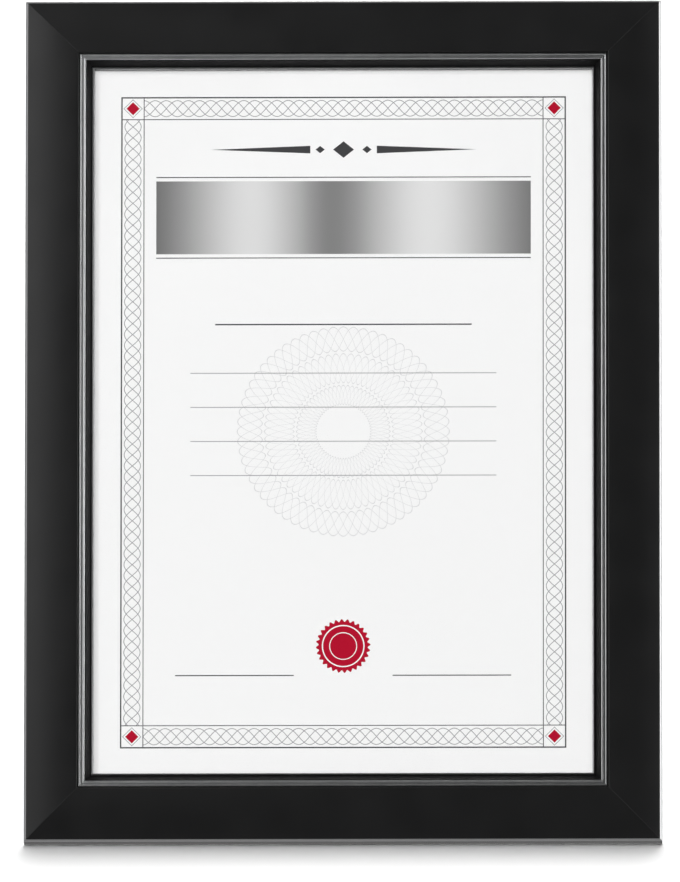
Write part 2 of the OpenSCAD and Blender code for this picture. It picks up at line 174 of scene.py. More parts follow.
# Radii of small rounded edges, and the angles of the rings round one
GLASS_EDGE = 0.15
SHEET_EDGE = 0.02
CARD_EDGE = 0.05
PANEL_EDGE = 0.15
WEDGE_EDGE = 0.08
BUTTON_EDGE = 0.22
STEEL_EDGE = 0.12
STRAP_EDGE = 0.1
LEG_EDGE = 0.2
EDGE_TURNS = (0, 30, 60, 90)

# Small forms of the fasteners
SCREW_TIP_R = SCREW_R / 2
SCREW_TIP_L = 1
TAIL_INSET = 0.05
TAIL_CHAMFER_W = 0.25
TAIL_CHAMFER_H = 0.2
DOME_INSET = 0.06
DOME_LIFT = 0.02
DOME_TIP_SHARE = 0.08
PIN_HEAD_GAP = 0.02
PIN_HEAD_STEPS = ((0, 0.25), (0.08, 0.1), (0.3, 0))
EAR_SINK = 0.1

# How far a cutter reaches past what it cuts, and the leg's whole outline below the floor
OVERRUN = 1
FOOT_SUNK = 1

# The angle above which an edge stays sharp
SHARP_ANGLE = 32

# Pieces in the fine arcs of the moulding
BEAD_STEPS = 14
SHOULDER_STEPS = 8
BAND_STEPS = 28
OUTER_STEPS = 12

# Pieces in the arcs of the hardware, round what is turned, and along a ring's bar and round its wire
DOME_STEPS = 8
CORNER_STEPS = 8
EAR_STEPS = 20
TIP_STEPS = 20
BUTTON_STEPS = 36
LEG_STEPS = 10
STRAP_STEPS = 28
BEND_STEPS = 10
BOW_STEPS = 48
TURN_STEPS = 48
EYE_STEPS = 40
BAR_STEPS = 8
WIRE_STEPS = 24

# The turn about the frame's middle that puts a bottom rail on each side
SIDES = {"bottom": 0, "top": 180, "left": 90, "right": -90}


def turn_x(angle):
    return Matrix.Rotation(radians(angle), 4, "X")


def turn_y(angle):
    return Matrix.Rotation(radians(angle), 4, "Y")


def shift(x, y, z):
    return Matrix.Translation((x * MM, y * MM, z * MM))


# From the frame's own upright place to the leaning one; the moulding's back plane meets the floor
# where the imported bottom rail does
back_edge_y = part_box("bottom_rail")[1].y - (RAIL_W - REBATE_W) * MM * sin(radians(LEAN))
LEANING = Matrix.Translation((0, back_edge_y, 0)) @ turn_x(-LEAN)
HINGE = LEANING @ shift(0, AXIS_Y, HINGE_Z)
OPEN_STRUT = HINGE @ turn_x(STRUT_OPEN)


# Meshes


def new_object(name, data):
    """An object in the scene."""
    made = bpy.data.objects.new(name, data)
    bpy.context.scene.collection.objects.link(made)
    return made


class Shape:
    """Points in millimetres, faces and material numbers that become one mesh."""

    def __init__(self):
        self.points = []
        self.faces = []
        self.kinds = []

    def loft(self, rings, side=0, joined=False):
        """Skins a row of rings of points; its ends are of material 0.

        side is the skin's material number, or gives one for ring i and point j.
        """
        start = len(self.points)
        count = len(rings[0])
        for ring in rings:
            self.points.extend(ring)
        for i in range(len(rings) - (0 if joined else 1)):
            here = start + i * count
            there = start + (i + 1) % len(rings) * count
            for j in range(count):
                k = (j + 1) % count
                self.faces.append((here + j, here + k, there + k, there + j))
                self.kinds.append(side(i, j) if callable(side) else side)
        if not joined:
            last = start + (len(rings) - 1) * count
            self.faces.append(tuple(range(start + count - 1, start - 1, -1)))
            self.faces.append(tuple(range(last, last + count)))
            self.kinds.extend((0, 0))

    def moved(self, matrix):
        """The same shape with its points moved by a matrix in metres."""
        copy = Shape()
        copy.points = [tuple(c / MM for c in matrix @ (Vector(p) * MM)) for p in self.points]
        copy.faces = list(self.faces)
        copy.kinds = list(self.kinds)
        return copy

    def add(self, other):
        start = len(self.points)
        self.points.extend(other.points)
        self.faces.extend(tuple(start + i for i in face) for face in other.faces)
        self.kinds.extend(other.kinds)

    def build(self, name, materials=()):
        """A new object of this shape, with outward faces."""
        mesh = bpy.data.meshes.new(name)
        for material in materials:
            mesh.materials.append(material)
        mesh.from_pydata([tuple(c * MM for c in p) for p in self.points], [], self.faces)
        mesh.polygons.foreach_set("material_index", self.kinds)
        net = bmesh.new()
        net.from_mesh(mesh)
        bmesh.ops.recalc_face_normals(net, faces=net.faces)
        net.to_mesh(mesh)
        net.free()
        return new_object(name, mesh)


def arc(centre, r, start, end, steps):
    """Points on an arc, from one angle to the other in degrees."""
    angles = [radians(start + (end - start) * i / steps) for i in range(steps + 1)]
    return [(centre[0] + r * cos(a), centre[1] + r * sin(a)) for a in angles]


def corner_step(outline, i, depth, limit=0):
    """How a corner moves when its outline, whose points run anticlockwise, shrinks by depth."""
    at = Vector(outline[i])
    before = at - Vector(outline[i - 1])
    after = Vector(outline[(i + 1) % len(outline)]) - at
    a = Vector((-before.y, before.x)).normalized()
    b = Vector((-after.y, after.x)).normalized()
    return (a + b) * depth / max(limit, 1 + a.dot(b))


def inset(outline, depth):
    """The outline moved inward by depth."""
    return [tuple(Vector(at) + corner_step(outline, i, depth)) for i, at in enumerate(outline)]


def edge_rings(front, back, edge):
    """The depth and inset of each ring of a plate whose edges are rounded by the radius edge."""
    bends = [(edge * (1 - cos(radians(t))), edge * (1 - sin(radians(t)))) for t in EDGE_TURNS]
    return [(front + d, i) for d, i in bends] + [(back - d, i) for d, i in reversed(bends)]


def plate(outline, front, back, edge, side=0):
    """A plate of the outline in x and z, from the depth front to the depth back."""
    shape = Shape()
    rings = [[(x, y, z) for x, z in inset(outline, i)] for y, i in edge_rings(front, back, edge)]
    shape.loft(rings, side)
    return shape


def turned(profile, axis="y", steps=TURN_STEPS, joined=False):
    """A turned shape from rows of radius and place along the axis."""
    shape = Shape()
    rings = []
    for r, along in profile:
        circle = arc((0, 0), r, 0, 360 - 360 / steps, steps - 1)
        rings.append([(a, along, b) if axis == "y" else (along, a, b) for a, b in circle])
    shape.loft(rings, joined=joined)
    return shape


def finish_mesh(made):
    """Smooth faces, with the edges above an angle kept sharp."""
    made.data.polygons.foreach_set("use_smooth", [True] * len(made.data.polygons))
    made.data.set_sharp_from_angle(angle=radians(SHARP_ANGLE))


def cut(made, cutter):
    """Cuts the cutter's shape out of an object, and removes the cutter."""
    tool = made.modifiers.new("cut", "BOOLEAN")
    tool.operation = "DIFFERENCE"
    tool.solver = "EXACT"
    tool.object = cutter
    bpy.context.view_layer.update()
    graph = bpy.context.evaluated_depsgraph_get()
    mesh = bpy.data.meshes.new_from_object(made.evaluated_get(graph))
    made.modifiers.clear()
    made.data = mesh
    bpy.data.objects.remove(cutter)


def taken(made):
    """The shape of an object, which is removed."""
    shape = Shape()
    shape.points = [tuple(c / MM for c in v.co) for v in made.data.vertices]
    shape.faces = [tuple(p.vertices) for p in made.data.polygons]
    shape.kinds = [0] * len(shape.faces)
    bpy.data.objects.remove(made)
    return shape


def settle(made, place, nodes, body="frame", flat=False):
    """Gives a piece its place and body, and lets it stand for its CAD nodes.

    A flat piece keeps its own axes, so that a print on it can be measured along them.
    """
    finish_mesh(made)
    if flat:
        made.matrix_world = place
    else:
        made.data.transform(place)
    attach(made, body)
    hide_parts(*nodes)


def piece(shape, node, materials, place, body="frame", flat=False):
    """Builds a shape and settles it for one CAD node."""
    made = shape.build(node + "_dressed", materials)
    settle(made, place, [node], body, flat)
    return made


# Shader maths


class Field:
    """A number that varies over a surface, made by shader nodes."""

    def __init__(self, tree, socket):
        self.tree = tree
        self.socket = socket

    def into(self, socket):
        """Links the number to a socket."""
        self.tree.links.new(self.socket, socket)

    def maths(self, kind, *others):
        node = self.tree.nodes.new("ShaderNodeMath")
        node.operation = kind
        for slot, value in zip(node.inputs, (self, *others)):
            if isinstance(value, Field):
                value.into(slot)
            else:
                slot.default_value = value
        return Field(self.tree, node.outputs[0])

    def __add__(self, other):
        return self.maths("ADD", other)

    def __sub__(self, other):
        return self.maths("SUBTRACT", other)

    def __mul__(self, other):
        return self.maths("MULTIPLY", other)

    def __truediv__(self, other):
        return self.maths("DIVIDE", other)

    def __abs__(self):
        return self.maths("ABSOLUTE")

    def sin(self):
        return self.maths("SINE")

    def cos(self):
        return self.maths("COSINE")

    def root(self):
        return self.maths("SQRT")

    def most(self, other):
        return self.maths("MAXIMUM", other)

    def below(self, other):
        return self.maths("LESS_THAN", other)

    def above(self, other):
        return self.maths("GREATER_THAN", other)

    def angle(self, other):
        return self.maths("ARCTAN2", other)


def new_material(name, **sockets):
    """A material with one Principled shader, whose named sockets get the values given."""
    made = bpy.data.materials.new(name)
    made.use_nodes = True
    shader = made.node_tree.nodes["Principled BSDF"]
    for socket, value in sockets.items():
        shader.inputs[socket.replace("_", " ")].default_value = value
    return made, made.node_tree, shader


def axes(tree, place):
    """The three parts of a place or direction."""
    places = tree.nodes.new("ShaderNodeTexCoord")
    split = tree.nodes.new("ShaderNodeSeparateXYZ")
    tree.links.new(places.outputs[place], split.inputs["Vector"])
    return [Field(tree, part) for part in split.outputs]


def object_place(tree, stretch):
    """The place on the piece, stretched along its axes."""
    places = tree.nodes.new("ShaderNodeTexCoord")
    mapping = tree.nodes.new("ShaderNodeMapping")
    mapping.inputs["Scale"].default_value = stretch
    tree.links.new(places.outputs["Object"], mapping.inputs["Vector"])
    return mapping.outputs["Vector"]


def noise(tree, scale, detail=3, stretch=(1, 1, 1)):
    node = tree.nodes.new("ShaderNodeTexNoise")
    node.inputs["Scale"].default_value = scale
    node.inputs["Detail"].default_value = detail
    tree.links.new(object_place(tree, stretch), node.inputs["Vector"])
    return Field(tree, node.outputs["Fac"])


def spread(field, low, high, start=0.3, end=0.7):
    """The field's range from start to end, mapped onto low to high."""
    node = field.tree.nodes.new("ShaderNodeMapRange")
    node.inputs["From Min"].default_value = start
    node.inputs["From Max"].default_value = end
    node.inputs["To Min"].default_value = low
    node.inputs["To Max"].default_value = high
    field.into(node.inputs["Value"])
    return Field(field.tree, node.outputs["Result"])


def blended(tree, mask, below, above):
    """Two colours mixed by a mask. Each is a socket or three numbers."""
    node = tree.nodes.new("ShaderNodeMix")
    node.data_type = "RGBA"
    mask.into(node.inputs["Factor"])
    for name, colour in (("A", below), ("B", above)):
        slot = next(s for s in node.inputs if s.name == name and s.type == "RGBA")
        if isinstance(colour, tuple):
            slot.default_value = (*colour, 1)
        else:
            tree.links.new(colour, slot)
    return next(s for s in node.outputs if s.type == "RGBA")


def bump(tree, shader, field, strength, distance):
    node = tree.nodes.new("ShaderNodeBump")
    node.inputs["Strength"].default_value = strength
    node.inputs["Distance"].default_value = distance
    field.into(node.inputs["Height"])
    tree.links.new(node.outputs["Normal"], shader.inputs["Normal"])


# Materials

# How finely noise is broken up, the height of a relief, and clouds in a metre of glass and paper
DRIFT_DETAIL = 4
RELIEF_DETAIL = 2
RELIEF_HEIGHT = 0.1 * MM
GLASS_CLOUDS = 40
GLASS_TINTS = ((0.96, 0.98, 0.97), (0.98, 1, 0.99))
GLASS_IOR = 1.45
PAPER_CLOUDS = 900
PAPER_FIBRE = 2500
PAPER_RELIEF = 0.05


def surface(name, low, high, rough, clouds, grain, relief, stretch=(1, 1, 1), **sockets):
    """A material whose colour and roughness drift between two values, with a fine relief.

    Clouds are the drift's waves in a metre, grain the relief's, and relief is its strength.
    """
    made, tree, shader = new_material(name, **sockets)
    drift = noise(tree, clouds, DRIFT_DETAIL, stretch)
    tree.links.new(blended(tree, spread(drift, 0, 1), low, high), shader.inputs["Base Color"])
    spread(drift, *rough).into(shader.inputs["Roughness"])
    bump(tree, shader, noise(tree, grain, RELIEF_DETAIL, stretch), relief, RELIEF_HEIGHT)
    return made


MOULDING_BLACK = surface(
    "moulding_black", (0.006, 0.006, 0.0062), (0.0076, 0.0076, 0.0078), rough=(0.43, 0.5),
    clouds=60, grain=2600, relief=0.05, Specular_IOR_Level=0.5,
)
MATT_BLACK = surface(
    "matt_black", (0.007, 0.007, 0.0073), (0.0088, 0.0088, 0.0091), rough=(0.5, 0.58),
    clouds=60, grain=2600, relief=0.05, Specular_IOR_Level=0.24,
)
SIDE_BLACK = surface(
    "side_black", (0.0074, 0.0074, 0.0077), (0.0092, 0.0092, 0.0095), rough=(0.14, 0.2),
    clouds=60, grain=2600, relief=0.03, Specular_IOR_Level=0.5,
)
BEAD_SILVER = surface(
    "bead_silver", (0.8, 0.81, 0.82), (0.86, 0.87, 0.87), rough=(0.36, 0.42),
    clouds=300, grain=1500, relief=0.02, Metallic=1,
)
NOSE_GREY = surface(
    "nose_grey", (0.39, 0.395, 0.4), (0.45, 0.455, 0.46), rough=(0.38, 0.44),
    clouds=300, grain=1500, relief=0.02, Metallic=1,
)
# Paler grey for the walls of the mitre grooves: a painted highlight that draws a faint light line along each
# mitre
SEAM_PAINTED_HIGHLIGHT = surface(
    "seam_painted_highlight", (0.015, 0.015, 0.015), (0.06, 0.06, 0.06), rough=(0.5, 0.7),
    clouds=45, grain=2600, relief=0.05, Specular_IOR_Level=0.3,
)
EDGE_GREY = surface(
    "edge_grey", (0.35, 0.35, 0.355), (0.4, 0.4, 0.405), rough=(0.4, 0.48),
    clouds=300, grain=1500, relief=0.03, Metallic=1,
)
CARD_GREY = surface(
    "card_grey", (0.4, 0.38, 0.35), (0.5, 0.48, 0.45), rough=(0.85, 0.95),
    clouds=400, grain=2500, relief=0.3,
)
BOARD_BLACK = surface(
    "board_black", (0.014, 0.014, 0.0145), (0.024, 0.024, 0.025), rough=(0.62, 0.78),
    clouds=420, grain=1800, relief=0.35, stretch=(1, 1, 0.6), Specular_IOR_Level=0.3,
)
BOARD_EDGE = surface(
    "board_edge", (0.1, 0.055, 0.028), (0.2, 0.12, 0.065), rough=(0.85, 0.95),
    clouds=1200, grain=3000, relief=0.5, stretch=(1, 3, 1),
)
ZINC = surface(
    "zinc", (0.5, 0.51, 0.53), (0.64, 0.65, 0.67), rough=(0.34, 0.48),
    clouds=260, grain=1400, relief=0.12, Metallic=1,
)
BRIGHT_STEEL = surface(
    "bright_steel", (0.66, 0.66, 0.67), (0.76, 0.76, 0.77), rough=(0.22, 0.32),
    clouds=500, grain=2200, relief=0.08, Metallic=1,
)
WEDGE_STEEL = surface(
    "wedge_steel", (0.42, 0.43, 0.45), (0.56, 0.57, 0.59), rough=(0.36, 0.5),
    clouds=900, grain=2600, relief=0.2, Metallic=1,
)
NICKEL = surface(
    "nickel", (0.66, 0.64, 0.6), (0.74, 0.72, 0.68), rough=(0.14, 0.24),
    clouds=300, grain=1800, relief=0.05, Metallic=1,
)


def clear_glass():
    """Clear glass that mirrors at its surface and lets light straight through."""
    made, tree, shader = new_material("clear_glass", Roughness=0.02, Metallic=1)
    tint = blended(tree, noise(tree, GLASS_CLOUDS), *GLASS_TINTS)
    tree.links.new(tint, shader.inputs["Base Color"])
    clear = tree.nodes.new("ShaderNodeBsdfTransparent")
    share = tree.nodes.new("ShaderNodeFresnel")
    share.inputs["IOR"].default_value = GLASS_IOR
    faces = tree.nodes.new("ShaderNodeNewGeometry")
    front = Field(tree, faces.outputs["Backfacing"]) * -1 + 1
    mixed = tree.nodes.new("ShaderNodeMixShader")
    (Field(tree, share.outputs["Fac"]) * front).into(mixed.inputs["Fac"])
    tree.links.new(clear.outputs["BSDF"], mixed.inputs[1])
    tree.links.new(shader.outputs["BSDF"], mixed.inputs[2])
    output = tree.nodes["Material Output"]
    tree.links.new(mixed.outputs["Shader"], output.inputs["Surface"])
    return made


# The printed sheet: a plain certificate form, measured in millimetres from the sheet's middle

PAPER_TINTS = ((0.89,) * 3, (0.905,) * 3)
INK_DARK = (0.055, 0.055, 0.058)
INK_GREY = (0.3, 0.3, 0.31)
INK_PALE = (0.66, 0.66, 0.67)
INK_CRIMSON = (0.44, 0.004, 0.026)
BORDER_X = 90
BORDER_Z = 133.5
BORDER_DEEP = 9
BORDER_LINE = 0.55
FINE_LINE = 0.35
WAVE_HIGH = 3.3
WAVE_LONG = 18
WAVE_LINE = 0.3
LOZENGE_R = 2.7
LOZENGE_FRAME_R = 3.7
BAR_MIDDLE = 84
BAR_HALF = 15
BAR_X = 76
TRIM_REACH = 2
TRIM_GAP = 1.6
TRIM_LINE = 0.4

# Places along the silver bar and the greys there
BAR_STOPS = (
    (0, 0.115), (0.13, 0.46), (0.26, 0.83), (0.38, 0.4), (0.47, 0.13),
    (0.58, 0.42), (0.72, 0.86), (0.86, 0.5), (1, 0.14),
)

# The rosette's rings: the middle radius and height of their waves
ROSETTE_RINGS = ((15, 4), (26, 6), (38, 5))
ROSETTE_WAVES = 16
ROSETTE_LINE = 0.34
ROSETTE_DROP = 4
SEAL_Z = -92
SEAL_R = 10.5
SEAL_TEETH = 28
SEAL_TOOTH = 0.55

# The seal's clear rings: their share of its radius, and their width
SEAL_RINGS = ((0.8, 0.5), (0.52, 0.35))

HEADING_Z = 112
HEADING_LOZENGE = 3.4
HEADING_SMALL = 1.5
HEADING_SMALL_X = 9.5
HEADING_NARROW = 0.8
STROKE_IN = 13.5
STROKE_OUT = 54
STROKE_TAPER = 26

# Writing lines: the middle in x and z, half the length and half the thickness
DARK_RULES = ((0, 40, 52, 0.28), (-44, -104, 24, 0.22), (44, -104, 24, 0.22))
GREY_RULES = [(0, z, 62, 0.16) for z in (20, 6, -8, -22)]


def line_at(distance, width):
    """A line of the width given, where the distance is zero."""
    return abs(distance).below(width / 2)


def box_mask(x, z, middle_x, middle_z, half_x, half_z):
    return abs(x - middle_x).below(half_x) * abs(z - middle_z).below(half_z)


def together(masks):
    """One mask of all the masks given."""
    return reduce(Field.most, masks)


def wave_line(across, along, quarter):
    """One wave along a strip, some quarters of its length on; its line is as wide where it is steep."""
    phase = along * (2 * pi / WAVE_LONG) + quarter * pi / 2
    slope = phase.cos() * (WAVE_HIGH * 2 * pi / WAVE_LONG)
    steep = (slope * slope + 1).root()
    return line_at((across - phase.sin() * WAVE_HIGH) / steep, WAVE_LINE)


def wave_lines(across, along):
    """Four interlaced waves along a strip."""
    return together(wave_line(across, along, quarter) for quarter in range(4))


def border(x, z):
    """The masks of the border's straight lines, its waves and its corner lozenges."""
    side = abs(x) - BORDER_X
    end = abs(z) - BORDER_Z
    outside = side.most(end)
    lines = line_at(outside, BORDER_LINE).most(line_at(outside + BORDER_DEEP, FINE_LINE))
    strip = outside.above(-BORDER_DEEP) * outside.below(0)
    corner = side.above(-BORDER_DEEP) * end.above(-BORDER_DEEP)
    at_side = side.above(end)
    half = BORDER_DEEP / 2
    side_waves = wave_lines(side + half, z)
    end_waves = wave_lines(end + half, x)
    waves = side_waves * at_side + end_waves * (at_side * -1 + 1)
    no_corner = corner * -1 + 1
    across = line_at(side + BORDER_DEEP, FINE_LINE).most(line_at(end + BORDER_DEEP, FINE_LINE))
    reach = abs(side + half) + abs(end + half)
    lozenge = reach.below(LOZENGE_R)
    lozenge_line = line_at(reach - LOZENGE_FRAME_R, FINE_LINE) * corner
    return lines.most(across * strip), (waves * strip * no_corner).most(lozenge_line), lozenge


def rosette(x, z):
    """Interlaced rings of waves round the middle of the form."""
    r = (x * x + z * z).root()
    turn = z.angle(x)
    lines = []
    for middle, high in ROSETTE_RINGS:
        for quarter in range(4):
            wave = (turn * ROSETTE_WAVES + quarter * pi / 2).sin()
            lines.append(line_at(r - middle - wave * high, ROSETTE_LINE))
    return together(lines)


def seal(x, z):
    """A wafer seal: a toothed edge, with two rings left clear in it."""
    down = z - SEAL_Z
    r = (x * x + down * down).root()
    teeth = (down.angle(x) * SEAL_TEETH).sin()
    disc = (r - teeth * SEAL_TOOTH).below(SEAL_R)
    clear = together(line_at(r - SEAL_R * share, width) for share, width in SEAL_RINGS)
    return disc * (clear * -1 + 1)


def ruled(x, z):
    """The form's writing lines: dark ones and grey ones."""
    dark = together(box_mask(x, z, *rule) for rule in DARK_RULES)
    grey = together(box_mask(x, z, *rule) for rule in GREY_RULES)
    return dark, grey


def heading(x, z):
    """A dark lozenge between two tapering strokes."""
    up = z - HEADING_Z
    lozenge = (abs(x) * HEADING_NARROW + abs(up)).below(HEADING_LOZENGE)
    small = (abs(abs(x) - HEADING_SMALL_X) * HEADING_NARROW + abs(up)).below(HEADING_SMALL)
    stroke = (abs(up) * STROKE_TAPER + abs(x)).below(STROKE_OUT) * abs(x).above(STROKE_IN)
    return lozenge.most(small).most(stroke)


def silver_bar(tree, x):
    """The bar's grey, which runs through bright and dark bands like satin."""
    ramp = tree.nodes.new("ShaderNodeValToRGB")
    ramp.color_ramp.interpolation = "B_SPLINE"
    stops = ramp.color_ramp.elements
    while len(stops) < len(BAR_STOPS):
        stops.new(0.5)
    for stop, (place, grey) in zip(stops, BAR_STOPS):
        stop.position = place
        stop.color = (grey, grey, grey, 1)
    ((x + BAR_X) / (2 * BAR_X)).into(ramp.inputs["Fac"])
    return ramp.outputs["Color"]


def bar_trim(x, z):
    """A dark line above the silver bar and another below it."""
    around = box_mask(x, z, 0, BAR_MIDDLE, BAR_X, BAR_HALF + TRIM_REACH)
    return around * line_at(abs(z - BAR_MIDDLE) - BAR_HALF - TRIM_GAP, TRIM_LINE)


def printed_sheet():
    """White paper with the form printed on it."""
    made, tree, shader = new_material("printed_sheet", Roughness=0.62, Specular_IOR_Level=0.2)
    x, _, z = axes(tree, "Object")
    x = x / MM
    z = z / MM - FRAME_H / 2
    colour = blended(tree, noise(tree, PAPER_CLOUDS), *PAPER_TINTS)
    lines, waves, lozenges = border(x, z)
    dark, grey = ruled(x, z)
    colour = blended(tree, rosette(x, z + ROSETTE_DROP), colour, INK_PALE)
    colour = blended(tree, waves, colour, INK_GREY)
    colour = blended(tree, grey, colour, INK_GREY)
    bar = box_mask(x, z, 0, BAR_MIDDLE, BAR_X, BAR_HALF)
    colour = blended(tree, bar, colour, silver_bar(tree, x))
    dark = dark.most(lines).most(heading(x, z)).most(bar_trim(x, z))
    colour = blended(tree, dark, colour, INK_DARK)
    colour = blended(tree, lozenges.most(seal(x, z)), colour, INK_CRIMSON)
    tree.links.new(colour, shader.inputs["Base Color"])
    bump(tree, shader, noise(tree, PAPER_FIBRE), PAPER_RELIEF, RELIEF_HEIGHT / 2)
    return made


# Moulding

BLACK, SILVER, GREY, SIDE, NOSE, SEAM, MATT = range(7)
RAIL_MATERIALS = (MOULDING_BLACK, BEAD_SILVER, EDGE_GREY, SIDE_BLACK, NOSE_GREY, SEAM_PAINTED_HIGHLIGHT, MATT_BLACK)


def rail_profile():
    """The rail's section, clockwise: rows of u out from the sight edge, v up from the back, and material."""
    lip_front = REBATE_D + LIP_T
    seat = lip_front + BEVEL_RISE
    crown = seat + CROWN_H - BAND_SINK
    bead_1 = BEVEL_W + BEAD_MARGIN + BEAD_R
    bead_2 = bead_1 + 2 * BEAD_R + BEAD_GAP
    shoulder = bead_2 + BEAD_R + SHOULDER_GAP
    start = shoulder + SHOULDER_R * (1 - sin(radians(BAND_CLIMB)))
    end = RAIL_W - OUTER_R * (1 - sin(radians(BAND_FALL)))
    crown_u = start + CROWN_SHARE * (end - start)
    climb = tan(radians(BAND_CLIMB)) * (crown_u - start) / 2
    fall = tan(radians(BAND_FALL)) * (end - crown_u) / 2

    def band(u):
        if u < crown_u:
            return crown - climb * ((crown_u - u) / (crown_u - start)) ** 2
        return crown - fall * ((u - crown_u) / (end - crown_u)) ** 2

    rows = [(RAIL_W, 0, BLACK), (REBATE_W, 0, BLACK), (REBATE_W, REBATE_D, BLACK), (0, REBATE_D, BLACK)]
    rows += [(*p, NOSE) for p in arc((SIGHT_R, lip_front - SIGHT_R), SIGHT_R, 180, 0, BEAD_STEPS)]
    rows[-1] = (*rows[-1][:2], MATT)
    rows.append((BEVEL_W, seat, MATT))
    for bead in (bead_1, bead_2):
        rows += [(*p, SILVER) for p in arc((bead, seat), BEAD_R, 180, 0, BEAD_STEPS)]
    rows[-1] = (*rows[-1][:2], BLACK)
    rows.append((shoulder, seat, BLACK))
    middle = (shoulder + SHOULDER_R, band(start) - SHOULDER_R * cos(radians(BAND_CLIMB)))
    rows += [(*p, BLACK) for p in arc(middle, SHOULDER_R, 180, 90 + BAND_CLIMB, SHOULDER_STEPS)]
    for i in range(1, BAND_STEPS):
        u = start + (end - start) * i / BAND_STEPS
        rows.append((u, band(u), BLACK))
    rows += outer_arris(band(end))
    return rows


def outer_arris(high):
    """The rows of the rounded outer edge, from the band's end down to the side."""
    bend = 90 - BAND_FALL
    middle = (RAIL_W - OUTER_R, high - OUTER_R * cos(radians(BAND_FALL)))
    rows = []
    for i, p in enumerate(arc(middle, OUTER_R, bend, 0, OUTER_STEPS)):
        turn = bend - bend * (i + 0.5) / OUTER_STEPS
        rows.append((*p, GREY if turn < ARRIS_TURN else BLACK))
    rows[-1] = (*rows[-1][:2], SIDE)
    return rows


def sunk_profile(rows):
    """The same section moved inward a little, except on the back and in the rebate."""
    moved = []
    outline = [Vector(r[:2]) for r in rows]
    for i, at in enumerate(outline):
        hidden = at.y == 0 or (at.y <= REBATE_D and at.x < RAIL_W)
        depth = 0 if hidden else -SEAM_DEPTH
        moved.append(at + corner_step(outline, i, depth, SHARP_LIMIT))
    return moved


def rail_shape(length):
    """A mitred rail along x; its outer edge is at z = 0."""
    rows = rail_profile()

    def skin(i, j):
        """The section's own material, but a paler grey painted on the black walls of the grooves at both
        ends: a painted highlight along each mitre.
        """
        own = rows[j][2]
        return SEAM if i != 1 and own == BLACK else own

    plain = [Vector(r[:2]) for r in rows]
    sunk = sunk_profile(rows)
    shape = Shape()
    rings = []
    for sign, section, back in ((-1, sunk, 0), (-1, plain, SEAM_W), (1, plain, SEAM_W), (1, sunk, 0)):
        ring = []
        for p in section:
            z = RAIL_W - p.x
            ring.append((sign * (length / 2 - z - back), -p.y, z))
        rings.append(ring)
    shape.loft(rings, side=skin)
    return shape


def wedge_places():
    """The places of the eight wedges, two at each corner."""
    for side_x, side_z, turn in ((-1, -1, 0), (-1, 1, 90), (1, 1, 180), (1, -1, -90)):
        for share in WEDGE_SHARES:
            inset_by = RAIL_W * (1 - share)
            x = side_x * (FRAME_W / 2 - inset_by)
            z = FRAME_H / 2 + side_z * (FRAME_H / 2 - inset_by)
            yield shift(x, 0, z) @ turn_y(turn)


def wedge_outline():
    """A V of two arms, anticlockwise."""
    half = WEDGE_T / 2
    low_arm = [(-half, -half), (-half, -WEDGE_ARM), (half, -WEDGE_ARM)]
    return [(half, half), (-WEDGE_ARM, half), (-WEDGE_ARM, -half)] + low_arm


def wedge_slots():
    """The eight slots of the corner wedges as one cutter."""
    shape = Shape()
    for place in wedge_places():
        slot = Shape()
        outline = inset(wedge_outline(), -WEDGE_GAP)
        slot.loft([[(x, y, z) for x, z in outline] for y in (-WEDGE_DEPTH, OVERRUN)])
        shape.add(slot.moved(place))
    return shape.build("slot_cutter")


def build_rails():
    """The four rails, with slots for the wedges in their mitres."""
    for side, turn in SIDES.items():
        upright = side in ("left", "right")
        length, across = (FRAME_H, FRAME_W) if upright else (FRAME_W, FRAME_H)
        place = shift(0, 0, FRAME_H / 2) @ turn_y(turn) @ shift(0, 0, -across / 2)
        node = side + "_rail"
        made = rail_shape(length).moved(place).build(node + "_dressed", RAIL_MATERIALS)
        cut(made, wedge_slots())
        settle(made, LEANING, [node])


def build_wedges():
    """The eight wedges as one piece."""
    shape = Shape()
    wedge = plate(wedge_outline(), -WEDGE_SINK - WEDGE_DEPTH, -WEDGE_SINK, WEDGE_EDGE)
    for place in wedge_places():
        shape.add(wedge.moved(place))
    piece(shape, "corner_wedges", [WEDGE_STEEL], LEANING)


# Contents


def content_outline():
    """The outline that the glass, the sheet, the card and the panel share."""
    half = SHEET_W / 2
    low = FRAME_H / 2 - SHEET_H / 2
    high = low + SHEET_H
    return [(-half, low), (half, low), (half, high), (-half, high)]


def build_contents():
    """The four layers in the rebate. The sheet throws no light on the floor's shadow."""
    board = [BOARD_BLACK, BOARD_EDGE]
    layers = (
        ("glass_pane", -REBATE_D, GLASS_BACK, GLASS_EDGE, [clear_glass()], "clear_glass", 0),
        ("document_sheet", GLASS_BACK, SHEET_BACK, SHEET_EDGE, [printed_sheet()], "sheet_paper", 0),
        ("backing_card", SHEET_BACK, CARD_BACK, CARD_EDGE, [CARD_GREY], "card_grey", 0),
        ("back_panel", CARD_BACK, PANEL_BACK, PANEL_EDGE, board, "board_black", 1),
    )
    for node, front, back, edge, materials, slot, side in layers:
        shape = plate(content_outline(), front + LAYER_GAP, back, edge, side=side)
        made = piece(shape, node, materials, LEANING, flat=True)
        made.visible_diffuse = node != "document_sheet"


# Fasteners


def dome(r, high, base):
    """Rows of radius and place for a low dome on the plane base."""
    whole = (r * r + high * high) / (2 * high)
    rows = []
    for i in range(DOME_STEPS):
        at = high * sin(radians(90 * i / DOME_STEPS))
        rows.append((sqrt(max(0, whole ** 2 - (whole - high + at) ** 2)), base + at))
    return rows + [(DOME_TIP_SHARE * r, base + high)]


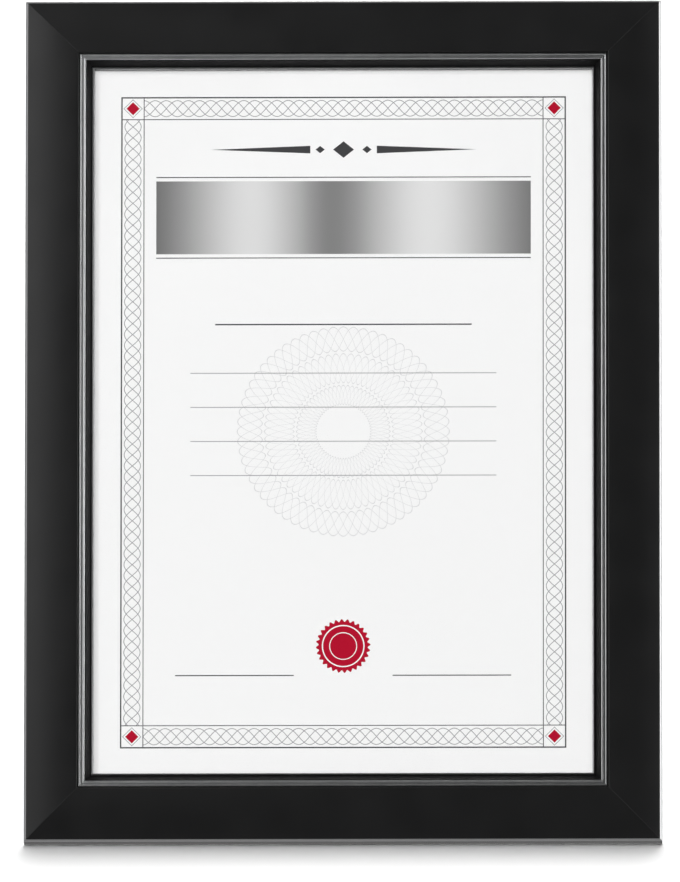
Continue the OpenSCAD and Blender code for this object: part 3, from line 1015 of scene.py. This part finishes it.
def rivet(tail_front, leaf_back):
    """A rivet from its flat tail to the domed head on a leaf or strap."""
    tail_r = RIVET_HEAD_R - TAIL_INSET
    tail_back = tail_front + RIVET_TAIL_T
    rows = [(tail_r - TAIL_CHAMFER_W, tail_front), (tail_r, tail_front + TAIL_CHAMFER_H)]
    rows += [(tail_r, tail_back), (RIVET_R, tail_back)]
    rows += [(RIVET_R, leaf_back), (RIVET_HEAD_R - DOME_INSET, leaf_back)]
    return turned(rows + dome(RIVET_HEAD_R, RIVET_HEAD_H, leaf_back + DOME_LIFT))


def cross_outline():
    """The recess in a screw's head, anticlockwise from the end of its right arm."""
    half = RECESS_W / 2
    arm = RECESS_SPAN / 2
    quarter = [(arm, -half), (arm, half), (half, half)]
    turns = ((1, 0), (0, 1), (-1, 0), (0, -1))
    return [(x * c - z * s, x * s + z * c) for c, s in turns for x, z in quarter]


def screw():
    """A button screw with a cross recess in its head."""
    base = BUTTON_T + 2 * BUTTON_GAP
    side = base + SCREW_HEAD_SIDE
    rows = [(SCREW_TIP_R, -SCREW_DEPTH), (SCREW_R, -SCREW_DEPTH + SCREW_TIP_L), (SCREW_R, base)]
    rows += [(SCREW_HEAD_R - STEEL_EDGE, base), (SCREW_HEAD_R, base + STEEL_EDGE)]
    rows += dome(SCREW_HEAD_R, SCREW_HEAD_H - SCREW_HEAD_SIDE, side)
    made = turned(rows).build("screw_blank")
    cross = Shape()
    top = base + SCREW_HEAD_H
    cross.loft([[(x, y, z) for x, z in cross_outline()] for y in (top - RECESS_DEPTH, top + OVERRUN)])
    cut(made, cross.moved(turn_y(45)).build("recess_cutter"))
    return taken(made)


def button_places():
    """The node and place of the two turn buttons on each side; a button points into the frame."""
    inward = RAIL_W - REBATE_W - BUTTON_SETBACK
    for side, turn in SIDES.items():
        upright = side in ("left", "right")
        ends = ("low", "high") if upright else ("left", "right")
        for end, along in zip(ends, (-1, 1)):
            x = along * END_BUTTON_SHARE * FRAME_W
            z = FRAME_H - inward if side == "top" else inward
            if upright:
                x = (FRAME_W / 2 - inward) * (1 if side == "right" else -1)
                z = FRAME_H / 2 + along * SIDE_BUTTON_SHARE * FRAME_H
            yield "turn_button_%s_%s" % (side, end), shift(x, 0, z) @ turn_y(turn)


def button_outline():
    """A round end at the screw and a narrower tip over the panel, joined by straight flanks."""
    tilt = degrees(asin((BUTTON_R - BUTTON_TIP_R) / BUTTON_REACH))
    tip = arc((0, BUTTON_REACH), BUTTON_TIP_R, tilt, 180 - tilt, TIP_STEPS)
    return tip + arc((0, 0), BUTTON_R, 180 - tilt, 360 + tilt, BUTTON_STEPS)


def build_buttons():
    """The turn buttons, and their screws as one piece."""
    screws = Shape()
    one_screw = screw()
    bore_r = SCREW_R + RUNNING_GAP
    for node, place in button_places():
        shape = plate(button_outline(), BUTTON_GAP, BUTTON_GAP + BUTTON_T, BUTTON_EDGE)
        made = shape.build(node + "_dressed", [ZINC])
        bore = turned([(bore_r, -OVERRUN), (bore_r, BUTTON_T + 2 * OVERRUN)])
        cut(made, bore.build("bore_cutter"))
        settle(made, LEANING @ place, [node], node)
        screws.add(one_screw.moved(place))
    piece(screws, "button_screws", [BRIGHT_STEEL], LEANING)


# Hinge and strut


def leaf_outline(wide, low, high):
    """A rectangle with rounded corners, anticlockwise from its lower right corner."""
    r = LEAF_CORNER_R
    x = wide / 2 - r
    corners = ((x, low + r, -90), (x, high - r, 0), (-x, high - r, 90), (-x, low + r, 180))
    return [p for x, z, start in corners for p in arc((x, z), r, start, start + 90, CORNER_STEPS)]


def ear(points, x):
    """An ear of sheet steel across the hinge axis, from an outline in y and z."""
    shape = Shape()
    rings = edge_rings(x, x + LEAF_T, STEEL_EDGE)
    shape.loft([[(at, y, z) for y, z in inset(points, i)] for at, i in rings])
    return shape


def rivet_pair(span, at_z, tail_front, leaf_back):
    """Two rivets side by side."""
    pair = Shape()
    one_rivet = rivet(tail_front, leaf_back)
    for side in (-1, 1):
        pair.add(one_rivet.moved(shift(side * span / 2, 0, at_z)))
    return pair


def build_panel_leaf():
    """The leaf on the panel, whose ears hold the pin."""
    outline = leaf_outline(PANEL_LEAF_W, -PANEL_LEAF_DOWN, PANEL_LEAF_UP)
    leaf = plate(outline, -AXIS_RISE, -LEAF_FACE, STEEL_EDGE)
    root = -AXIS_RISE + EAR_SINK
    bend = arc((0, 0), LEAF_FACE, -90, 90, EAR_STEPS)
    for x in (-EAR_X - LEAF_T, EAR_X):
        leaf.add(ear([(root, -LEAF_FACE)] + bend + [(root, LEAF_FACE)], x))
    piece(leaf, "panel_leaf", [ZINC], HINGE)
    rivets = rivet_pair(PANEL_RIVET_SPAN, HINGE_Z + PANEL_RIVET_RISE, CARD_BACK, PANEL_BACK + LEAF_T)
    piece(rivets, "panel_leaf_rivets", [BRIGHT_STEEL], LEANING)


def build_pin():
    """The hinge pin with a rounded head at each end."""
    inner = EAR_X + LEAF_T + PIN_HEAD_GAP
    outer = inner + PIN_HEAD_T
    rim = PIN_R + PIN_HEAD_RIM
    half = [(PIN_R, inner), (rim, inner)] + [(rim - a, outer - b) for a, b in PIN_HEAD_STEPS]
    rows = [(r, -x) for r, x in reversed(half)] + half
    piece(turned(rows, "x"), "hinge_pin", [BRIGHT_STEEL], HINGE)


def foot_height(y):
    """Where the floor cuts the leg, along the leg and at the depth y."""
    axis_height = HINGE_Z * cos(radians(LEAN)) - AXIS_Y * sin(radians(LEAN))
    return -(axis_height + y * sin(radians(STRUT_SPLAY))) / cos(radians(STRUT_SPLAY))


def leg_outline(y):
    """The leg's outline at the depth y, anticlockwise; its rounded foot is cut by the floor."""
    top_z = -(LEAF_FACE + LEG_TOP_GAP)
    low_z = foot_height(LEG_T / 2) - FOOT_SUNK
    flare = degrees(atan2((LEG_FOOT_W - LEG_TOP_W) / 2, top_z - low_z))
    half_top = LEG_TOP_W / 2
    half_foot = LEG_FOOT_W / 2
    grip_foot = LEG_FOOT_R / tan(radians((90 - flare) / 2))
    grip_top = LEG_TOP_R / tan(radians((90 + flare) / 2))
    foot = (half_foot - grip_foot, low_z + LEG_FOOT_R)
    top = (half_top - grip_top, top_z - LEG_TOP_R)
    cut_angle = degrees(asin((foot_height(y) - foot[1]) / LEG_FOOT_R))
    right = arc(foot, LEG_FOOT_R, cut_angle, flare, LEG_STEPS)
    right += arc(top, LEG_TOP_R, flare, 90, LEG_STEPS)
    return right + [(-x, z) for x, z in reversed(right)]


def build_leg():
    """The strut's leg, a black board whose cut edge shows its brown core."""
    leg = Shape()
    depths = edge_rings(-LEG_T / 2, LEG_T / 2, LEG_EDGE)
    leg.loft([[(x, y, z) for x, z in inset(leg_outline(y), i)] for y, i in depths], side=1)
    piece(leg, "strut_leg", [BOARD_BLACK, BOARD_EDGE], OPEN_STRUT, "strut")


def build_strut_leaf():
    """The leaf on the leg; its heel stops against the panel's leaf when the strut stands open."""
    open_angle = radians(STRUT_OPEN)
    heel = (LEG_T / 2 * cos(open_angle) + LEAF_FACE - STOP_GAP) / sin(open_angle)
    back = LEG_T / 2 + LEAF_T
    across = STRUT_LEAF_W / 2
    leaf = plate(leaf_outline(STRUT_LEAF_W, -STRUT_LEAF_DOWN, heel), LEG_T / 2, back, STEEL_EDGE)
    root = back - EAR_SINK
    bend = arc((0, 0), EAR_R, 90, 270, EAR_STEPS)
    for x in (-across, across - LEAF_T):
        leaf.add(ear([(root, EAR_R)] + bend + [(root, -EAR_R)], x))
    piece(leaf, "strut_leaf", [ZINC], OPEN_STRUT, "strut")
    rivets = rivet_pair(STRUT_RIVET_SPAN, -STRUT_RIVET_DROP, -LEG_T / 2 - RIVET_TAIL_T, back)
    piece(rivets, "strut_rivets", [BRIGHT_STEEL], OPEN_STRUT, "strut")


# Hangers


def strap_shape():
    """A strap with a round end, and the eye that it makes round the wire."""
    half = STRAP_W / 2
    outline = [(half, 0), (-half, 0)] + arc((0, -HANGER_RIVET_DROP), half, 180, 360, STRAP_STEPS)
    shape = plate(outline, PANEL_BACK, PANEL_BACK + STRAP_T, STRAP_EDGE)
    profile = [(EYE_BORE_R, -half), (EYE_R - STRAP_EDGE, -half), (EYE_R, -half + STRAP_EDGE)]
    profile += [(EYE_R, half - STRAP_EDGE), (EYE_R - STRAP_EDGE, half), (EYE_BORE_R, half)]
    eye = turned(profile, "x", EYE_STEPS, joined=True)
    shape.add(eye.moved(shift(0, PANEL_BACK + EYE_R, 0)))
    return shape


def ring_path():
    """The middle line of the wire ring, clockwise from its bar."""
    bar_half = BOW_R - RING_BEND_R
    path = [(-bar_half + 2 * bar_half * i / BAR_STEPS, 0) for i in range(BAR_STEPS)]
    path += arc((bar_half, -RING_BEND_R), RING_BEND_R, 90, 0, BEND_STEPS)
    path += [(BOW_R, -RING_BEND_R - RING_SIDE / 2)]
    path += arc((0, -BOW_DROP), BOW_R, 0, -180, BOW_STEPS)
    path += [(-BOW_R, -RING_BEND_R - RING_SIDE / 2)]
    path += arc((-bar_half, -RING_BEND_R), RING_BEND_R, 180, 90, BEND_STEPS)[:-1]
    return [Vector(p) for p in path]


def ring_shape():
    """The wire ring, round all along its path."""
    path = ring_path()
    shape = Shape()
    rings = []
    for i, at in enumerate(path):
        along = (path[(i + 1) % len(path)] - path[i - 1]).normalized()
        ring = []
        for a, b in arc((0, 0), WIRE_R, 0, 360 - 360 / WIRE_STEPS, WIRE_STEPS - 1):
            ring.append((at.x - along.y * a, b, at.y + along.x * a))
        rings.append(ring)
    shape.loft(rings, joined=True)
    return shape


def build_hanger(name, place, swing):
    """A strap, its rivet and its wire ring, which hangs at an angle from the strap's own plane."""
    at_strap = LEANING @ place
    at_rivet = at_strap @ shift(0, 0, -HANGER_RIVET_DROP)
    at_bar = at_strap @ shift(0, PANEL_BACK + EYE_R, 0) @ turn_x(swing)
    hanger = name + "_hanger"
    piece(strap_shape(), hanger + "_strap", [ZINC], at_strap)
    one_rivet = rivet(CARD_BACK, PANEL_BACK + STRAP_T)
    piece(one_rivet, hanger + "_rivet", [BRIGHT_STEEL], at_rivet)
    piece(ring_shape(), hanger + "_ring", [NICKEL], at_bar, name + "_ring")


def build_hangers():
    """The upper hanger, whose ring hangs plumb, and the side hanger, whose ring stands off the panel."""
    upper_place = shift(0, 0, FRAME_H / 2 + SHEET_H / 2 - UPPER_BAR_DROP)
    side_place = shift(SHEET_W / 2 - SIDE_BAR_INSET, 0, FRAME_H / 2) @ turn_y(90)
    build_hanger("upper", upper_place, LEAN)
    build_hanger("side", side_place, 90)


# Studio

# Light that falls on rough surfaces from all round, and what the camera sees added to the floor
WORLD_LIGHT = 0.08
FLOOR_GLOW = 0.01

# What gloss mirrors: in front, far left, far right, overhead and underneath; the light behind is 1,
# with these shares of it low down and at the left
FRONT_DARK = 0.024
LEFT_LIGHT = 0.9
RIGHT_LIGHT = 5.6
TOP_LIGHT = 0.16
BELOW_LIGHT = 0.62
LOW_BEHIND = 0.2
LEFT_BEHIND = 0.35

# The spans over which those lights change, along an axis of the directions' unit sphere
SIDE_SPAN = (0.84, 1)
TOP_SPAN = (0.8, 1)
BELOW_SPAN = (-1, -0.3)
BEHIND_SPAN = (0.05, 0.7)
LOW_BEHIND_SPAN = (-0.5, 0.1)
LEFT_BEHIND_SPAN = (-0.6, 0.2)

# The row of narrow suns behind, which would be dark at one elevation and are full at another
REAR_LIGHT = 0.38
REAR_ELEVATIONS = range(46, 80, 3)
REAR_DARK_AT = 42
REAR_FULL_AT = 60
REAR_ANGLE = 4

# The floor reaches so many metres each way, a hair below the frame
FLOOR_REACH = 30
FLOOR_DROP = 0.02 * MM
FLOOR_CLOUDS = 3
FLOOR_TINTS = ((0.88,) * 3, (0.9,) * 3)

# The camera's place in degrees and metres, the point it aims at in millimetres, and its lens
CAMERA_AZIMUTH = 0.95
CAMERA_ELEVATION = 2.65
CAMERA_ROLL = -0.155
CAMERA_DISTANCE = 10
CAMERA_AIM = (-1.48, 0, 161.55)
FOCAL_PIXELS = 24660
IMAGE_H_PIXELS = 882
SENSOR = 36


def floor_material():
    """Pale and rough; the camera sees a little light added, so that it meets the white behind."""
    made, tree, shader = new_material("studio_floor", Roughness=0.9, Specular_IOR_Level=0)
    pale = blended(tree, noise(tree, FLOOR_CLOUDS), *FLOOR_TINTS)
    tree.links.new(pale, shader.inputs["Base Color"])
    rays = tree.nodes.new("ShaderNodeLightPath")
    seen = Field(tree, rays.outputs["Is Camera Ray"])
    glow = tree.nodes.new("ShaderNodeEmission")
    (seen * FLOOR_GLOW).into(glow.inputs["Strength"])
    both = tree.nodes.new("ShaderNodeAddShader")
    tree.links.new(shader.outputs["BSDF"], both.inputs[0])
    tree.links.new(glow.outputs["Emission"], both.inputs[1])
    tree.links.new(both.outputs["Shader"], tree.nodes["Material Output"].inputs["Surface"])
    return made


def studio_floor():
    """A pale floor that takes the shadow. It lights no other piece, and nothing mirrors it."""
    far = FLOOR_REACH
    corners = [(x, y, -FLOOR_DROP) for x, y in ((-far, -far), (far, -far), (far, far), (-far, far))]
    mesh = bpy.data.meshes.new("studio_floor")
    mesh.from_pydata(corners, [], [(0, 1, 2, 3)])
    mesh.materials.append(floor_material())
    floor = new_object("studio_floor", mesh)
    floor.visible_glossy = False
    floor.visible_diffuse = False


def mirrored_light(tree):
    """What gloss sees of the studio in each direction."""
    to_right, to_back, upward = axes(tree, "Generated")
    sides = spread(abs(to_right), 0, 1, *SIDE_SPAN) * spread(to_right, LEFT_LIGHT, RIGHT_LIGHT, -1, 1)
    overhead = spread(upward, 0, TOP_LIGHT, *TOP_SPAN)
    underneath = spread(upward, BELOW_LIGHT, 0, *BELOW_SPAN)
    behind = spread(to_back, 0, 1, *BEHIND_SPAN)
    behind = behind * spread(upward, LOW_BEHIND, 1, *LOW_BEHIND_SPAN)
    behind = behind * spread(to_right, LEFT_BEHIND, 1, *LEFT_BEHIND_SPAN)
    return sides.most(overhead).most(underneath).most(behind).most(FRONT_DARK)


def studio_world():
    """White to the camera, even and weak to rough surfaces, and shaped light to gloss."""
    world = bpy.data.worlds.new("studio")
    bpy.context.scene.world = world
    world.use_nodes = True
    tree = world.node_tree
    shade = tree.nodes["Background"]
    shade.inputs["Color"].default_value = (1, 1, 1, 1)
    rays = tree.nodes.new("ShaderNodeLightPath")
    seen = Field(tree, rays.outputs["Is Camera Ray"])
    glossy = Field(tree, rays.outputs["Is Glossy Ray"])
    neither = glossy.most(seen) * -1 + 1
    strength = seen + glossy * mirrored_light(tree) + neither * WORLD_LIGHT
    strength.into(shade.inputs["Strength"])


def towards(azimuth, elevation):
    """The direction to a place round the frame; azimuth 0 is in front of it and 90 at its right."""
    turn = radians(azimuth)
    rise = radians(elevation)
    level = cos(rise)
    return Vector((sin(turn) * level, -cos(turn) * level, sin(rise)))


def add_lamp(name, lamp, direction):
    """A lamp object that shines from a direction towards the frame."""
    made = new_object(name, lamp)
    made.rotation_mode = "QUATERNION"
    made.rotation_quaternion = direction.to_track_quat("Z", "Y")
    return made


def sun(name, azimuth, elevation, strength, angle):
    """A sun that gloss doesn't see."""
    lamp = bpy.data.lights.new(name, "SUN")
    lamp.energy = strength
    lamp.angle = radians(angle)
    add_lamp(name, lamp, towards(azimuth, elevation)).visible_glossy = False


def rear_suns():
    """A row of suns straight behind: the frame's shadow reaches forward and hardly sideways."""
    for elevation in REAR_ELEVATIONS:
        share = min(1, (elevation - REAR_DARK_AT) / (REAR_FULL_AT - REAR_DARK_AT))
        sun("rear_%d" % elevation, 180, elevation, REAR_LIGHT * share, REAR_ANGLE)


def soft_box(name, place, aim, size, power):
    """A rectangular soft box that lights only gloss."""
    lamp = bpy.data.lights.new(name, "AREA")
    lamp.shape = "RECTANGLE"
    lamp.size = size[0]
    lamp.size_y = size[1]
    lamp.energy = power
    made = add_lamp(name, lamp, Vector(place) - Vector(aim))
    made.location = place
    made.visible_diffuse = False
    made.visible_camera = False


def studio_camera():
    """A long lens at the picture's angle, a little right of the frame's middle and above the level."""
    away = towards(CAMERA_AZIMUTH, CAMERA_ELEVATION)
    side = (-away).cross(Vector((0, 0, 1))).normalized()
    up = side.cross(-away)
    roll = radians(CAMERA_ROLL)
    right = cos(roll) * side + sin(roll) * up
    top = -sin(roll) * side + cos(roll) * up
    place = Vector(CAMERA_AIM) * MM + away * CAMERA_DISTANCE
    lens = bpy.data.cameras.new("camera")
    lens.lens = FOCAL_PIXELS / IMAGE_H_PIXELS * SENSOR
    lens.sensor_width = SENSOR
    lens.clip_end = 100
    made = new_object("camera", lens)
    facing = Matrix((right, top, away)).transposed().to_4x4()
    made.matrix_world = Matrix.Translation(place) @ facing
    bpy.context.scene.camera = made


build_rails()
build_wedges()
build_contents()
build_buttons()
build_panel_leaf()
build_pin()
build_leg()
build_strut_leaf()
build_hangers()
studio_floor()
studio_world()
sun("key", azimuth=-26, elevation=24, strength=0.83, angle=26)
sun("front", azimuth=2, elevation=9, strength=2.31, angle=20)
rear_suns()
soft_box("left_box", (-0.6, -0.45, 0.6), aim=(0, -0.04, 0.24), size=(0.6, 0.9), power=2.85)
soft_box("rear_box", (0.7, 1.1, 0.9), aim=(0, 0.04, 0.2), size=(0.8, 0.8), power=8)
studio_camera()
bpy.context.scene.view_settings.view_transform = "Standard"
